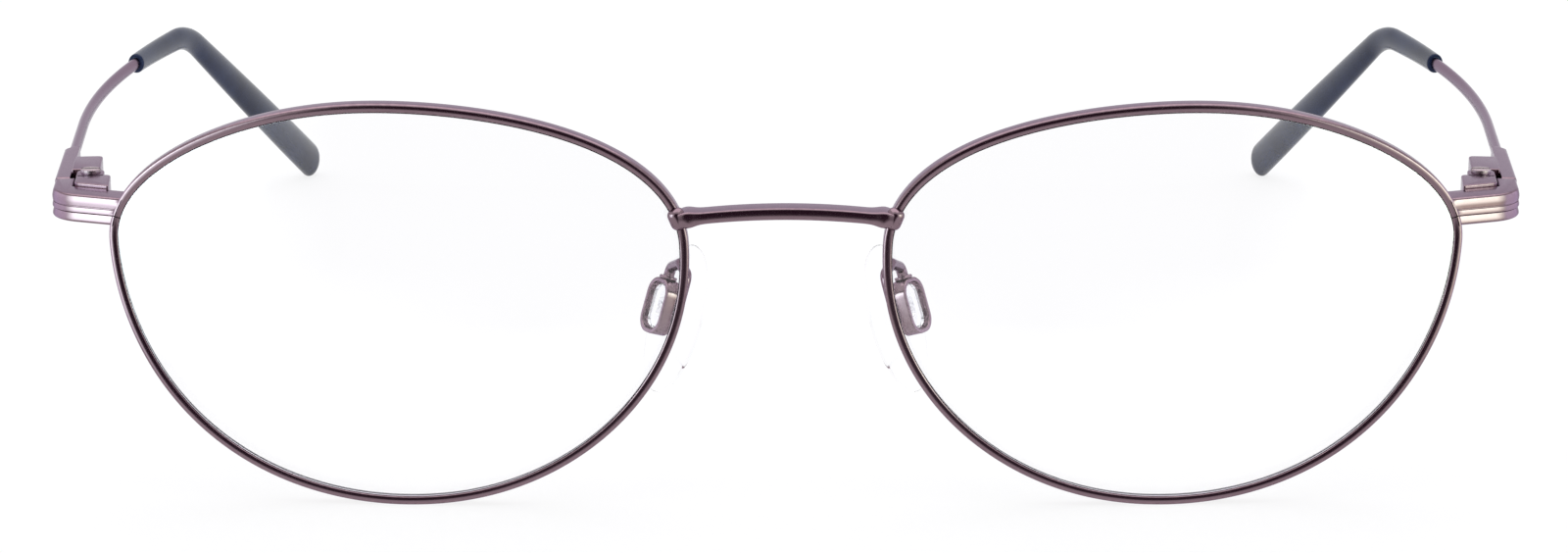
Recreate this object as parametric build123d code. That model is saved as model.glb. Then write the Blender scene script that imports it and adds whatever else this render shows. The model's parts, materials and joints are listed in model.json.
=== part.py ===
from build123d import *
import os
from math import atan2, cos, degrees, hypot, pi, radians, sin, sqrt, tan

# Oval metal eyeglasses, in millimetres and degrees.
# X runs to the right of someone who looks at the front, Y from the front to the ear, Z up.
# Every piece is modelled on the right side, with its zero at the table, in the middle of the
# bridge and at the foremost edge of the rim beside the nose. The left side is its mirror image.

# Lens: width and height of its oval, the gap between the two lenses, and its curve
lens_width = 51.5
lens_height = 36.2
lens_gap = 18.2
lens_thickness = 1.5
base_radius = 110.0
wrap_angle = 3.0
nose_side_share = 0.5105
brow_share = 0.35
lean_share = 0.047
roundness_power = 2.03
temple_roundness = 0.047
brow_roundness = 0.03
corner_roundness = 0.068
outline_points = 48

# Rim: grooved wire round the lens
rim_wall = 0.8
rim_depth = 1.9
rim_edge_radius = 0.25
rim_lip_radius = 0.1
groove_depth = 0.4
groove_mouth = 1.0
lens_clearance = 0.04
bevel_root = 0.3
rim_split = 0.1
rim_split_reach = 3.0

# Bridge: arched bar with a rounded lug over each rim
bridge_level = 27.05
bridge_arch_radius = 72.0
bridge_height = 1.1
bridge_depth = 2.7
bridge_proud = 0.55
bridge_edge_radius = 0.35
lug_radius = 0.8
lug_height = 2.0
lug_edge_radius = 0.62
lug_drop = 0.55
lug_proud = 0.15

# Endpiece: two bars, one over the other, that turn the corner to the hinge
endpiece_base = 25.2
lower_bar_height = 0.87
bar_gap = 0.05
middle_band_height = 0.5
fine_groove_height = 0.07
fine_groove_depth = 0.12
upper_band_height = 1.06
endpiece_depth = 3.3
endpiece_setback = 0.2
recession_angle = 22.0
corner_radius = 4.2
inner_corner_radius = 0.8
bar_edge_radius = 0.28
braze_overlap = 1.2

# Closing screw
closing_screw_x = 62.35
closing_screw_radius = 0.5
closing_head_radius = 0.75
closing_head_height = 0.5
closing_head_sink = 0.06
screw_slot_width = 0.24
screw_slot_depth = 0.22
thread_clearance = 0.02

# Hinge: three knuckles on one upright screw
hinge_x = 64.2
hinge_y = 13.2
hinge_height = 3.2
flare_angle = 6.4
knuckle_radius = 1.25
knuckle_gap = 0.06
swing_gap = 0.15
hinge_screw_radius = 0.6
hinge_bore_clearance = 0.04
hinge_head_radius = 0.9
hinge_head_height = 0.34
hinge_head_dome = 0.15
front_leaf_width = 3.15
leaf_corner_radius = 0.5
temple_leaf_width = 2.6
temple_leaf_length = 5.9

# Temple plate: the thicker front end of the temple
plate_reach = 1.85
plate_thickness = 1.4
plate_height = 2.55
plate_end_height = 2.4
plate_length = 16.0
plate_end_slope = 1.3
plate_end_drop = 0.65
butt_ahead = 0.8
butt_gap = 0.15
plate_edge_radius = 0.3

# Temple wire: springy arm, also the core of the tip
temple_length = 140.5
length_to_bend = 89.5
temple_slope = 0.7
bow_start = 32.0
bow_radius = 195.0
bow_turn = 17.8
ear_bend_radius = 17.0
wire_width = 1.0
wire_height = 1.35
wire_start = 8.2
core_end_margin = 9.0
core_width = 0.9
core_height = 1.1
wire_across = 2.6

# Temple tip: sleeve with a flattened paddle end
tip_length = 71.0
tip_start_width = 1.75
tip_start_height = 2.1
tip_bend_width = 1.9
tip_bend_height = 2.6
paddle_width = 2.4
paddle_height = 4.3
tip_end_round = 2.2
core_clearance = 0.03
tip_stations = 14
tip_round_stations = 5

# Pad arm: wire from the rim, over and down to the pad box
arm_radius = 0.5
arm_low_level = 16.8
arm_low_sink = 0.5
arm_low_depth = 1.45
arm_high_level = 20.9
arm_high_sink = 0.17
arm_high_depth = 2.1
arm_crown_x = 9.6
arm_crown_y = 4.9
arm_crown_z = 21.45
arm_bend_radius = 1.15
arm_root_bend_radius = 0.9
arm_drop = 1.0
arm_drop_bend_radius = 0.8
collar_radius = 0.82
collar_height = 0.3

# Pad box: rounded frame with a window, open towards the pad
box_x = 12.2
box_y = 7.9
box_z = 16.85
box_width = 3.7
box_height = 5.15
box_depth = 1.5
box_corner_radius = 1.5
box_wall = 0.3
box_lip = 0.12
box_lip_depth = 0.25
splay_angle = 30.0
frontal_angle = 18.0

# Pad insert and nose pad
insert_gap = 0.22
insert_depth = 0.95
neck_radius = 1.0
pad_gap = 0.5
neck_seat = 0.7
pad_width = 7.8
pad_height = 14.0
pad_thickness = 2.3
pad_drop = 0.9
pad_back_share = 0.84
pad_crown_share = 0.62
pad_crown_level_share = 0.7

# Directions and derived places
overrun = 1.0
right_angle = 90.0
halvings = 48
lens_middle_x = lens_gap / 2 + lens_width / 2
lens_middle_z = rim_wall - groove_depth + lens_height / 2
widest_x = lens_gap / 2 + nose_side_share * lens_width
widest_z = rim_wall - groove_depth + (1 - brow_share) * lens_height
sphere_x = lens_middle_x - base_radius * sin(radians(wrap_angle))
sphere_y = sqrt(base_radius**2 - (lens_gap / 2 - sphere_x) ** 2)
split_level = endpiece_base + lower_bar_height
endpiece_top = split_level + bar_gap + middle_band_height + fine_groove_height + upper_band_height
endpiece_level = (endpiece_base + endpiece_top) / 2
hinge_base = endpiece_level - hinge_height / 2
knuckle_height = (hinge_height - 2 * knuckle_gap) / 3
plate_outer = plate_reach + plate_thickness
outer_reach = rim_wall - groove_depth


def outline_point(angle):
    """Point of the lens outline: an oval of unequal quarters, leaning with height."""
    along = cos(angle)
    up = sin(angle)
    half_width = lens_width * ((1 - nose_side_share) if along > 0 else nose_side_share)
    half_height = lens_height * (brow_share if up > 0 else 1 - brow_share)
    power = roundness_power - temple_roundness * along - brow_roundness * up
    power -= corner_roundness * sin(2 * angle)
    radius = (abs(along) ** power + abs(up) ** power) ** (-1 / power)
    rise = half_height * radius * up
    return Vector(widest_x + half_width * radius * along + lean_share * rise, 0, widest_z + rise)


def outward(angle):
    """Unit normal of the outline, pointing away from the lens."""
    small_turn_share = 0.001
    ahead = outline_point(angle + small_turn_share)
    behind = outline_point(angle - small_turn_share)
    tangent = (ahead - behind).normalized()
    return Vector(tangent.Z, 0, -tangent.X)


def face_depth(x, z):
    """Depth of the front face: a sphere turned by the wrap, zero beside the nose."""
    rise = z - lens_middle_z
    return sphere_y - sqrt(base_radius**2 - (x - sphere_x) ** 2 - rise**2)


def outline_curve(reach, depth, curved=True):
    """Closed curve at a distance outside the lens outline, on the front face or flat."""
    first = 0 if curved else pi
    points = []
    for step in range(outline_points):
        angle = first + 2 * pi * step / outline_points
        edge = outline_point(angle)
        place = edge + outward(angle) * reach
        y = face_depth(edge.X, edge.Z) + depth if curved else depth
        points.append((place.X, y, place.Z))
    return Edge.make_spline(points, periodic=True)


def edge_angle(level, low_angle, high_angle):
    """Angle at which the outline passes a level, by halving the range."""
    rising = outline_point(high_angle).Z > outline_point(low_angle).Z
    for _ in range(halvings):
        middle = (low_angle + high_angle) / 2
        if (outline_point(middle).Z < level) == rising:
            low_angle = middle
        else:
            high_angle = middle
    return low_angle


def edge_place(angle, reach):
    """Place on the front face at a distance outside the outline."""
    edge = outline_point(angle)
    place = edge + outward(angle) * reach
    return Vector(place.X, face_depth(edge.X, edge.Z), place.Z)


def ring(profile_points, radii=None):
    """Carry a section round the lens. Its first axis points outwards, its second to the rear."""
    path = outline_curve(0, rim_depth / 2)
    guide = outline_curve(0, rim_depth / 2 + rim_depth)
    start = path @ 0
    plane = Plane(origin=start, x_dir=outward(0), z_dir=path % 0)
    if radii is None:
        outline = Polyline(*profile_points, close=True)
    else:
        outline = FilletPolyline(*profile_points, radius=radii, close=True)
    section = plane * make_face(outline)
    return sweep(section, path=path, binormal=guide).solid()


def make_rim():
    """Grooved wire, with the saw cut that lets it open for the lens."""
    half_depth = rim_depth / 2
    half_mouth = groove_mouth / 2
    points = [
        (-groove_depth, -half_depth),
        (outer_reach, -half_depth),
        (outer_reach, half_depth),
        (-groove_depth, half_depth),
        (-groove_depth, half_mouth),
        (0, 0),
        (-groove_depth, -half_mouth),
    ]
    radii = [rim_lip_radius, rim_edge_radius, rim_edge_radius, rim_lip_radius, 0, 0, 0]
    wire = ring(points, radii)
    split = edge_place(edge_angle(split_level, 0, pi / 2), 0)
    cut = Pos(split.X, split.Y + half_depth, split_level + bar_gap / 2) * Box(
        rim_split_reach, rim_depth + overrun, rim_split
    )
    return (wire - cut).solid()


def prism(reach):
    """Straight block whose outline runs at a distance outside the lens outline."""
    flat = make_face(outline_curve(reach, 0, curved=False))
    return extrude(flat, amount=base_radius / 2, dir=(0, 1, 0), both=True)


def make_rim_cutter():
    """The rim's outer form with its lens space filled, to seat what is brazed to it."""
    half_depth = rim_depth / 2
    inside = -groove_depth - overrun
    points = [
        (inside, -half_depth),
        (outer_reach, -half_depth),
        (outer_reach, half_depth),
        (inside, half_depth),
    ]
    return ring(points, [0, rim_edge_radius, rim_edge_radius, 0])


def make_lens():
    """Plate between two spheres, with a bevel that runs in the rim's groove."""
    inset = (rim_depth - lens_thickness) / 2
    centre = Pos(sphere_x, sphere_y, lens_middle_z)
    front_ball = centre * Sphere(base_radius - inset)
    back_ball = centre * Sphere(base_radius - inset - lens_thickness)
    plate = (prism(-groove_depth - lens_clearance) & front_ball) - back_ball
    half_base = groove_mouth / 2 - lens_clearance
    bevel = ring(
        [
            (-lens_clearance, 0),
            (-groove_depth, half_base),
            (-groove_depth - bevel_root, half_base),
            (-groove_depth - bevel_root, -half_base),
            (-groove_depth, -half_base),
        ]
    )
    return (plate + bevel).solid()


def make_bridge(rim_cutter):
    """Arched bar that ends in a rounded lug over each rim."""
    lug_angle = edge_angle(bridge_level - lug_drop, pi / 2, pi)
    lug_place = edge_place(lug_angle, outer_reach - rim_wall / 2)
    centre_z = bridge_level - bridge_arch_radius
    half_span_angle = degrees(atan2(lug_place.X, bridge_arch_radius))
    arc = CenterArc(
        (0, 0), bridge_arch_radius, right_angle - half_span_angle, 2 * half_span_angle
    )
    middle_depth = bridge_depth / 2 - bridge_proud
    path = Plane(origin=(0, middle_depth, centre_z), x_dir=(1, 0, 0), z_dir=(0, -1, 0)) * arc
    plane = Plane(origin=path @ 0, x_dir=(0, 1, 0), z_dir=path % 0)
    bar = sweep(
        plane * RectangleRounded(bridge_depth, bridge_height, bridge_edge_radius), path=path
    )
    normal = outward(lug_angle)
    tilt = degrees(atan2(-normal.Z, -normal.X))
    lug_body = fillet(Cylinder(lug_radius, lug_height).edges(), lug_edge_radius)
    lug_y = lug_place.Y - lug_proud - bridge_proud + lug_radius
    lug = Pos(lug_place.X, lug_y, lug_place.Z) * Rot(0, -tilt, 0) * lug_body
    cutters = rim_cutter + mirror(rim_cutter, about=Plane.YZ)
    return (bar + lug + mirror(lug, about=Plane.YZ) - cutters).solid()


def hinge_spot(across, along):
    """Point in plan, given outwards and rearwards from the hinge in the flared temple's frame."""
    turn = radians(-flare_angle)
    x = hinge_x + across * cos(turn) - along * sin(turn)
    y = hinge_y + across * sin(turn) + along * cos(turn)
    return Vector(x, y)


def meet(point, direction, other, other_direction):
    """Point where two lines in plan cross."""
    gap = other - point
    area = direction.X * other_direction.Y - direction.Y * other_direction.X
    share = (gap.X * other_direction.Y - gap.Y * other_direction.X) / area
    return point + direction * share


def endpiece_lines():
    """Start point, front direction and depth direction of the endpiece in plan."""
    side = edge_place(edge_angle(endpiece_level, 0, pi / 2), outer_reach)
    turn = radians(recession_angle)
    front = Vector(cos(turn), sin(turn))
    inward = Vector(-sin(turn), cos(turn))
    start = Vector(side.X, side.Y + endpiece_setback) - front * braze_overlap
    return start, front, inward


def endpiece_plan(inset):
    """Plan of the bars: a straight front, a round corner and a return to the hinge."""
    start, front, inward = endpiece_lines()
    temple_way = hinge_spot(0, 1) - hinge_spot(0, 0)
    end = -butt_ahead - butt_gap
    outer_end = hinge_spot(plate_outer - inset, end)
    inner_end = hinge_spot(knuckle_radius, end)
    front_start = start + inward * inset
    back_start = start + inward * endpiece_depth
    outer_corner = meet(front_start, front, outer_end, temple_way)
    inner_corner = meet(back_start, front, inner_end, temple_way)
    points = [front_start, outer_corner, outer_end, inner_end, inner_corner, back_start]
    radii = [0, corner_radius - inset, 0, 0, inner_corner_radius, 0]
    outline = FilletPolyline(*[(p.X, p.Y) for p in points], radius=radii, close=True)
    return make_face(outline)


def band(base, height, inset=0):
    """One layer of the endpiece."""
    return Pos(0, 0, base) * extrude(endpiece_plan(inset), amount=height)


def closing_screw_spot():
    """The closing screw stands in the middle of the endpiece's depth."""
    start, front, inward = endpiece_lines()
    middle = start + inward * (endpiece_depth / 2)
    share = (closing_screw_x - middle.X) / front.X
    return middle + front * share


def make_upper_endpiece(rim_cutter):
    """Upper bar with one fine groove, holed for the closing screw's shank and head."""
    base = split_level + bar_gap
    groove_base = base + middle_band_height
    body = band(base, middle_band_height)
    body += band(groove_base, fine_groove_height, fine_groove_depth)
    top = band(groove_base + fine_groove_height, upper_band_height)
    body += fillet(top.edges().group_by(Axis.Z)[-1], bar_edge_radius)
    spot = closing_screw_spot()
    shank_hole = Cylinder(closing_screw_radius + thread_clearance, hinge_height + overrun)
    body -= Pos(spot.X, spot.Y, endpiece_level) * shank_hole
    sink = closing_head_height + closing_head_sink
    head_hole = Cylinder(closing_head_radius + thread_clearance, sink + overrun)
    body -= Pos(spot.X, spot.Y, endpiece_top - sink + (sink + overrun) / 2) * head_hole
    return (body - rim_cutter - prism(outer_reach - rim_edge_radius)).solid()


def make_lower_endpiece(rim_cutter):
    """Lower bar, with the tapped hole that the closing screw pulls on."""
    body = band(endpiece_base, lower_bar_height)
    body = fillet(body.edges().group_by(Axis.Z)[0], bar_edge_radius)
    spot = closing_screw_spot()
    hole = Cylinder(closing_screw_radius + thread_clearance, hinge_height + overrun)
    body -= Pos(spot.X, spot.Y, endpiece_level) * hole
    return (body - rim_cutter - prism(outer_reach - rim_edge_radius)).solid()


def slotted_head(radius, height, dome):
    """Round head with a domed edge and a straight slot, standing on its own base."""
    head = extrude(Circle(radius), amount=height)
    if dome > 0:
        head = fillet(head.edges().group_by(Axis.Z)[-1], dome)
    slot = Box(2 * radius + overrun, screw_slot_width, 2 * screw_slot_depth)
    return head - Pos(0, 0, height) * slot


def make_closing_screw():
    """Shank and slotted head, sunk just below the top of the endpiece."""
    spot = closing_screw_spot()
    head_base = endpiece_top - closing_head_sink - closing_head_height
    shank_length = head_base - endpiece_base
    shank = extrude(Circle(closing_screw_radius), amount=-shank_length)
    screw = shank + slotted_head(closing_head_radius, closing_head_height, 0)
    return (Pos(spot.X, spot.Y, head_base) * screw).solid()


def hinge_place():
    """Frame of the hinge and the temple: first axis outwards, second rearwards."""
    return Pos(hinge_x, hinge_y, 0) * Rot(0, 0, -flare_angle)


def knuckle(base, height, reach):
    """One knuckle with its web, which reaches forwards or back along the temple's line."""
    web = Pos(0, reach / 2, base + height / 2) * Box(2 * knuckle_radius, abs(reach), height)
    barrel = Pos(0, 0, base) * extrude(Circle(knuckle_radius), amount=height)
    return barrel + web


def hinge_bore(clearance):
    """Hole for the hinge screw, right through the hinge."""
    hole = Cylinder(hinge_screw_radius + clearance, hinge_height + 2 * overrun)
    return Pos(0, 0, endpiece_level) * hole


def make_front_hinge_leaf():
    """Block behind the endpiece, with the upper and the lower knuckle."""
    start, front, inward = endpiece_lines()
    back = start + inward * endpiece_depth
    temple_way = hinge_spot(0, 1) - hinge_spot(0, 0)
    end = -knuckle_radius - swing_gap
    outer_end = hinge_spot(knuckle_radius, end)
    inner_end = hinge_spot(knuckle_radius - front_leaf_width, end)
    outer_front = meet(back, front, outer_end, temple_way)
    inner_front = meet(back, front, inner_end, temple_way)
    points = [inner_front, outer_front, outer_end, inner_end]
    radii = [0, inner_corner_radius, 0, leaf_corner_radius]
    outline = FilletPolyline(*[(p.X, p.Y) for p in points], radius=radii, close=True)
    block = Pos(0, 0, hinge_base) * extrude(make_face(outline), amount=hinge_height)
    upper_base = hinge_base + 2 * (knuckle_height + knuckle_gap)
    ears = knuckle(hinge_base, knuckle_height, end) + knuckle(upper_base, knuckle_height, end)
    leaf = block + hinge_place() * (ears - hinge_bore(thread_clearance))
    return leaf.solid()


def make_hinge_screw():
    """Pin of the hinge, with a domed and slotted head on the upper knuckle."""
    shank = extrude(Circle(hinge_screw_radius), amount=-hinge_height)
    screw = shank + slotted_head(hinge_head_radius, hinge_head_height, hinge_head_dome)
    return (hinge_place() * Pos(0, 0, hinge_base + hinge_height) * screw).solid()


def make_temple_hinge_leaf():
    """Block inside the temple plate, with the middle knuckle."""
    front = knuckle_radius + swing_gap
    length = temple_leaf_length
    inner = plate_reach - temple_leaf_width
    points = [
        (inner, front),
        (plate_reach, front),
        (plate_reach, front + length),
        (inner, front + length),
    ]
    outline = FilletPolyline(*points, radius=[0, 0, 0, leaf_corner_radius], close=True)
    block = Pos(0, 0, hinge_base) * extrude(make_face(outline), amount=hinge_height)
    middle_base = hinge_base + knuckle_height + knuckle_gap
    ear = knuckle(middle_base, knuckle_height, front)
    leaf = (block + ear) - hinge_bore(hinge_bore_clearance)
    return (hinge_place() * leaf).solid()


def make_temple_plate():
    """Flat bar that tapers to a sloped rear end; its front end butts on the endpiece."""
    drop = plate_length * sin(radians(temple_slope))
    front = -butt_ahead
    rear = plate_length - butt_ahead
    half_front = plate_height / 2
    half_rear = plate_end_height / 2
    side_outline = Polyline(
        (front, endpiece_level - half_front),
        (rear, endpiece_level - drop - half_rear),
        (rear, endpiece_level - drop + half_rear),
        (front, endpiece_level + half_front),
        close=True,
    )
    sketch = Plane(origin=(plate_reach, 0, 0), x_dir=(0, 1, 0), z_dir=(1, 0, 0))
    body = extrude(sketch * make_face(side_outline), amount=plate_thickness)
    outer_edges = body.edges().group_by(Axis.X)[-1]
    body = fillet(outer_edges, plate_edge_radius)
    slope_front = rear - plate_end_slope
    slope_share = (plate_end_slope + overrun) / plate_end_slope
    wedge_outline = Polyline(
        (plate_outer, slope_front),
        (plate_outer + overrun, slope_front),
        (plate_outer + overrun, rear + overrun),
        (plate_outer - plate_end_drop * slope_share, rear + overrun),
        close=True,
    )
    wedge = extrude(make_face(wedge_outline), amount=hinge_height, both=True)
    plate = hinge_place() * (body - Pos(0, 0, endpiece_level) * wedge)
    return (plate - make_core(0, 0)[0]).solid()


def temple_plan(distance):
    """Place and heading in plan of the temple wire: straight, bowed inwards, straight."""
    turn = min(max((distance - bow_start) / bow_radius, 0), radians(bow_turn))
    straight = min(distance, bow_start)
    beyond = max(distance - bow_start - bow_radius * radians(bow_turn), 0)
    across = wire_across - bow_radius * (1 - cos(turn)) - beyond * sin(turn)
    along = straight + bow_radius * sin(turn) + beyond * cos(turn)
    spot = hinge_spot(across, along)
    heading = radians(right_angle - flare_angle) + turn
    return spot, heading


def drop_angle():
    """Angle of the ear end below level, so that the rounded end of the tip rests on the table."""
    bend_height = endpiece_level - length_to_bend * sin(radians(temple_slope))
    low, high = 0, pi / 2
    for _ in range(halvings):
        drop = (low + high) / 2
        round_height = hypot(tip_end_round * sin(drop), paddle_height / 2 * cos(drop))
        end_height = round_height - tip_end_round * sin(drop)
        if bend_height - (temple_length - length_to_bend) * sin(drop) > end_height:
            low = drop
        else:
            high = drop
    return low


def temple_point(length):
    """Place on the temple's middle line, its heading and its slope, at a length from the hinge."""
    slope = radians(temple_slope)
    drop = drop_angle()
    half_bend = ear_bend_radius * tan((drop - slope) / 2)
    bend_arc = ear_bend_radius * (drop - slope)
    bend_start = length_to_bend - half_bend
    if length <= bend_start:
        run, fall, pitch = length * cos(slope), length * sin(slope), slope
    else:
        turned = min(length - bend_start, bend_arc)
        pitch = slope + turned / ear_bend_radius
        past = length - bend_start - turned
        run = bend_start * cos(slope) + ear_bend_radius * (sin(pitch) - sin(slope))
        fall = bend_start * sin(slope) + ear_bend_radius * (cos(slope) - cos(pitch))
        run += past * cos(pitch)
        fall += past * sin(pitch)
    spot, heading = temple_plan(run)
    return Vector(spot.X, spot.Y, endpiece_level - fall), heading, pitch


def temple_section(length, width, height):
    """Oval section square to the temple's middle line."""
    place, heading, pitch = temple_point(length)
    level = cos(pitch)
    way = Vector(cos(heading) * level, sin(heading) * level, -sin(pitch))
    across = Vector(sin(heading), -cos(heading), 0)
    plane = Plane(origin=place, x_dir=across, z_dir=way)
    return plane * Ellipse(width / 2, height / 2)


def stations(start, end, count):
    """Evenly spaced lengths, both ends included."""
    return [start + (end - start) * step / (count - 1) for step in range(count)]


def make_core(width_extra, end_extra):
    """Wire from the plate to its end inside the tip, thinner in the tip."""
    sleeve_start = tip_front()
    core_end = temple_end() - core_end_margin + end_extra
    arm = [
        temple_section(length, wire_width, wire_height)
        for length in stations(wire_start, sleeve_start, tip_stations // 2)
    ]
    core = [
        temple_section(length, core_width + width_extra, core_height + width_extra)
        for length in stations(sleeve_start, core_end, tip_stations)
    ]
    return loft(arm), loft(core)


def temple_end():
    """Length along the middle line to the end of the tip."""
    slope = radians(temple_slope)
    turn = drop_angle() - slope
    return temple_length - 2 * ear_bend_radius * tan(turn / 2) + ear_bend_radius * turn


def tip_front():
    """Length along the middle line to the front of the tip."""
    return temple_end() - tip_length


def make_temple_wire():
    """Thin springy arm that seats inside the plate and runs on as the tip's core."""
    arm, core = make_core(0, 0)
    return (arm + core).solid()


def tip_size(length):
    """Width and height of the sleeve: slim to the bend, then growing into the paddle."""
    share = (length - tip_front()) / tip_length
    bend_share = (length_to_bend - tip_front()) / tip_length
    if share < bend_share:
        part = share / bend_share
        return (
            tip_start_width + (tip_bend_width - tip_start_width) * part,
            tip_start_height + (tip_bend_height - tip_start_height) * part,
        )
    part = (share - bend_share) / (1 - bend_share)
    swell = sin(part * pi / 2)
    return (
        tip_bend_width + (paddle_width - tip_bend_width) * swell,
        tip_bend_height + (paddle_height - tip_bend_height) * swell,
    )


def make_temple_tip():
    """Sleeve over the core, lofted through ovals, with a rounded end."""
    start = tip_front()
    end = temple_end()
    sections = [
        temple_section(length, *tip_size(length))
        for length in stations(start, end - tip_end_round, tip_stations)
    ]
    sleeve = loft(sections)
    cap_sections = []
    for step in range(tip_round_stations):
        angle = pi / 2 * step / tip_round_stations
        length = end - tip_end_round + tip_end_round * sin(angle)
        width, height = tip_size(end - tip_end_round)
        cap_sections.append(temple_section(length, width * cos(angle), height * cos(angle)))
    cap = loft(cap_sections)
    bore = make_core(2 * core_clearance, core_clearance)[1]
    return (sleeve + cap - bore).solid()


def pad_plane():
    """Frame of the pad box: first axis rearwards, second up, third towards the lens."""
    splay = radians(splay_angle)
    tilt = radians(frontal_angle)
    rear_way = Vector(sin(splay), cos(splay), 0)
    lens_way = Vector(cos(splay), -sin(splay), 0)
    normal = lens_way * cos(tilt) + Vector(0, 0, sin(tilt))
    return Plane(origin=(box_x, box_y, box_z), x_dir=rear_way, z_dir=normal)


def make_pad_box(arm):
    """Rounded frame: a wall open towards the pad, with a narrow lip round the window."""
    wall = extrude(RectangleRounded(box_width, box_height, box_corner_radius), amount=-box_depth)
    wall = fillet(wall.edges().group_by(Axis.Z)[-1], box_lip)
    inner_radius = box_corner_radius - box_wall
    cavity = RectangleRounded(box_width - 2 * box_wall, box_height - 2 * box_wall, inner_radius)
    cavity = Pos(0, 0, -box_lip_depth) * extrude(cavity, amount=-box_depth)
    rim = box_wall + box_lip
    window = RectangleRounded(box_width - 2 * rim, box_height - 2 * rim, inner_radius - box_lip)
    window = extrude(window, amount=box_depth, both=True)
    return (pad_plane().location * (wall - cavity - window) - arm).solid()


def make_pad_arm(rim_cutter):
    """Wire that grows out of the rim's nose side, a crown bend, and a collar on the pad box."""
    low_angle = edge_angle(arm_low_level, pi, 3 * pi / 2)
    high_angle = edge_angle(arm_high_level, pi, 3 * pi / 2)
    low = edge_place(low_angle, outer_reach - arm_low_sink)
    high = edge_place(high_angle, outer_reach - arm_high_sink)
    top_of_box = pad_plane().location * Pos(0, (box_height + collar_height) / 2, -box_depth / 2)
    end = top_of_box.position
    above = (top_of_box * Pos(0, arm_drop, 0)).position
    points = [
        (low.X, low.Y + arm_low_depth, low.Z),
        (high.X, high.Y + arm_high_depth, high.Z),
        (arm_crown_x, arm_crown_y, arm_crown_z),
        (above.X, above.Y, above.Z),
        (end.X, end.Y, end.Z),
    ]
    radii = [arm_root_bend_radius, arm_bend_radius, arm_drop_bend_radius]
    route = FilletPolyline(*points, radius=radii)
    start_plane = Plane(origin=route @ 0, z_dir=route % 0)
    wire = sweep(start_plane * Circle(arm_radius), path=route.wire())
    foot_end = Pos(*(route @ 0)) * Sphere(arm_radius)
    end_plane = Plane(origin=route @ 1, z_dir=route % 1)
    collar = end_plane.location * Cylinder(collar_radius, collar_height)
    return (wire + foot_end + collar - rim_cutter).solid()


def make_pad_insert():
    """Clear block inside the box with a round neck that holds the soft pad."""
    inner = box_wall + insert_gap
    radius = box_corner_radius - inner
    block = RectangleRounded(box_width - 2 * inner, box_height - 2 * inner, radius)
    top = -box_lip_depth - insert_gap
    block = Pos(0, 0, top) * extrude(block, amount=-insert_depth)
    neck_end = -box_depth - pad_gap - neck_seat
    neck = Pos(0, 0, top) * extrude(Circle(neck_radius), amount=neck_end - top)
    return (pad_plane().location * (block + neck)).solid()


def make_nose_pad():
    """Soft pad: an oval pillow, crowned towards the nose, holed for the insert's neck."""
    back = -box_depth - pad_gap
    levels = [
        (0, pad_back_share),
        (pad_thickness * (1 - pad_crown_level_share), 1),
        (pad_thickness * pad_crown_level_share, (1 + pad_crown_share) / 2),
        (pad_thickness, pad_crown_share),
    ]
    sections = [
        Pos(0, -pad_drop, back - level) * Ellipse(pad_width / 2 * size, pad_height / 2 * size)
        for level, size in levels
    ]
    pillow = loft(sections)
    seat = Pos(0, 0, back) * Cylinder(neck_radius, 2 * neck_seat)
    return (pad_plane().location * (pillow - seat)).solid()


def make_side():
    """All pieces of the right side by name, and the bridge."""
    rim_cutter = make_rim_cutter()
    arm = make_pad_arm(rim_cutter)
    return {
        "rim": make_rim(),
        "lens": make_lens(),
        "upper_endpiece": make_upper_endpiece(rim_cutter),
        "lower_endpiece": make_lower_endpiece(rim_cutter),
        "closing_screw": make_closing_screw(),
        "front_hinge_leaf": make_front_hinge_leaf(),
        "hinge_screw": make_hinge_screw(),
        "temple_hinge_leaf": make_temple_hinge_leaf(),
        "temple_plate": make_temple_plate(),
        "temple_wire": make_temple_wire(),
        "temple_tip": make_temple_tip(),
        "pad_arm": arm,
        "pad_box": make_pad_box(arm),
        "pad_insert": make_pad_insert(),
        "nose_pad": make_nose_pad(),
    }, make_bridge(rim_cutter)


def main():
    side, bridge = make_side()
    pieces = {"bridge": bridge}
    for name, shape in side.items():
        pieces["right_" + name] = shape
        pieces["left_" + name] = mirror(shape, about=Plane.YZ)
    box = Compound(list(pieces.values())).bounding_box()
    origin = Vector(0, (box.min.Y + box.max.Y) / 2, 0)
    print("origin", origin, "box", box.min, box.max)
    os.makedirs("parts", exist_ok=True)
    for name, shape in pieces.items():
        export_step(Pos(*(-origin)) * shape, f"parts/{name}.step")


main()
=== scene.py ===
import json
from math import atan2, cos, hypot, pi, radians, sin, sqrt, tan

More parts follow.
